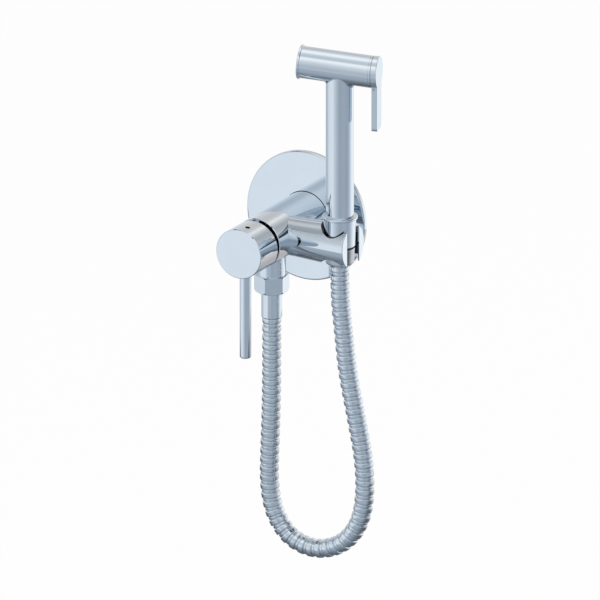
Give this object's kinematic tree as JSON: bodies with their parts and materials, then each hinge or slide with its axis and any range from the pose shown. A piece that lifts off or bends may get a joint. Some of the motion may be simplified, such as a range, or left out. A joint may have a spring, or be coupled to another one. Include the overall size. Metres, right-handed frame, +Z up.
{
  "type": "concealed bidet shower",
  "caption": "Concealed wall mixer with a round plate, a straight hanging lever, a side holder arm, a ribbed hose and a slim hand spray with a long rear trigger.",
  "frame": {"origin": "centre of the wall plate, on the face of the wall", "axes": "+X to the right towards the holder arm, +Y into the wall, +Z up along the hand spray"},
  "size_m": [0.1425, 0.1455, 0.4203],
  "materials": {
    "chrome_plate": "polished chrome on brass",
    "hose_metal": "polished chromed strip",
    "brass": "machined",
    "stainless_steel": "machined",
    "black_plastic": "satin moulded",
    "white_plastic": "satin moulded",
    "ceramic": "lapped",
    "black_rubber": "smooth",
    "inner_hose_rubber": "smooth"
  },
  "bodies": {
    "fixed": {"in_wall_body": "brass", "check_valve_hot": "white_plastic", "check_valve_cold": "white_plastic", "wall_plate": "chrome_plate", "plate_gasket": "black_rubber", "plate_o_ring": "black_rubber", "mixer_body": "chrome_plate", "channel_o_rings": "black_rubber", "body_screws": "stainless_steel", "cartridge_housing": "black_plastic", "cartridge_seals": "black_rubber", "cartridge_o_ring": "black_rubber", "fixed_ceramic_disc": "ceramic", "cartridge_nut": "black_plastic", "outlet_nipple": "brass", "hose_nut": "chrome_plate", "hose_washer": "black_rubber", "hose_tail": "brass", "hose_ferrule": "chrome_plate", "hose": "hose_metal", "hose_inner_tube": "inner_hose_rubber", "holder_arm": "chrome_plate", "arm_stud": "stainless_steel", "holder_liner": "black_plastic"},
    "turret": {"cartridge_turret": "black_plastic", "lever_pin": "stainless_steel"},
    "ceramic_slide": {"moving_ceramic_disc": "ceramic", "disc_driver": "white_plastic"},
    "handle": {"lever_spindle": "stainless_steel", "handle_cap": "chrome_plate", "lever_rod": "chrome_plate", "cap_grub_screw": "stainless_steel"},
    "hose_end": {"cone_tail": "brass"},
    "hand_spray": {"cone_nut": "chrome_plate", "cone_washer": "black_rubber", "thread_ring": "black_plastic", "spray_body": "chrome_plate", "face_ring": "chrome_plate", "spray_face": "stainless_steel", "spray_gasket": "black_rubber", "flow_disc": "white_plastic", "valve_seat": "brass", "stem_gland": "brass", "stem_o_ring": "black_rubber", "head_end_ring": "chrome_plate", "trigger_pin": "stainless_steel", "valve_spring": "stainless_steel"},
    "valve": {"valve_stem": "stainless_steel", "valve_seal": "black_rubber"},
    "trigger": {"trigger": "chrome_plate"}
  },
  "joints": [
    {"name": "handle_turn", "type": "hinge", "parent": "fixed", "child": "turret", "pos_m": [0, -0.082, 0], "axis": [0, 1, 0], "range_deg": [-45, 45]},
    {"name": "handle_lift", "type": "hinge", "parent": "turret", "child": "handle", "pos_m": [0, -0.082, 0], "axis": [-1, 0, 0], "range_deg": [0, 15]},
    {"name": "disc_slide", "type": "slide", "parent": "turret", "child": "ceramic_slide", "axis": [0, 0, -1], "range_m": [0, 0.0032]},
    {"name": "handset_lift", "type": "slide", "parent": "fixed", "child": "hose_end", "axis": [0, 0, 1], "range_m": [0, 0.03], "deforming": ["hose", "hose_inner_tube"]},
    {"name": "handset_swivel", "type": "hinge", "parent": "hose_end", "child": "hand_spray", "pos_m": [0.0566, -0.0505, 0], "axis": [0, 0, 1], "continuous": true},
    {"name": "trigger_press", "type": "hinge", "parent": "hand_spray", "child": "trigger", "pos_m": [0.08409, -0.04262, 0.13067], "axis": [-0.2756, 0.9613, 0], "range_deg": [0, 12], "stiffness_Nm_per_rad": 0.8, "springref_deg": -11.46},
    {"name": "valve_pull", "type": "slide", "parent": "hand_spray", "child": "valve", "axis": [0.9589, 0.275, -0.0698], "range_m": [0, 0.0026], "deforming": ["valve_spring"]}
  ],
  "couplings": [
    {"joint": "disc_slide", "follows": "handle_lift", "m_per_rad": 0.012},
    {"joint": "valve_pull", "follows": "trigger_press", "m_per_rad": 0.0121}
  ]
}
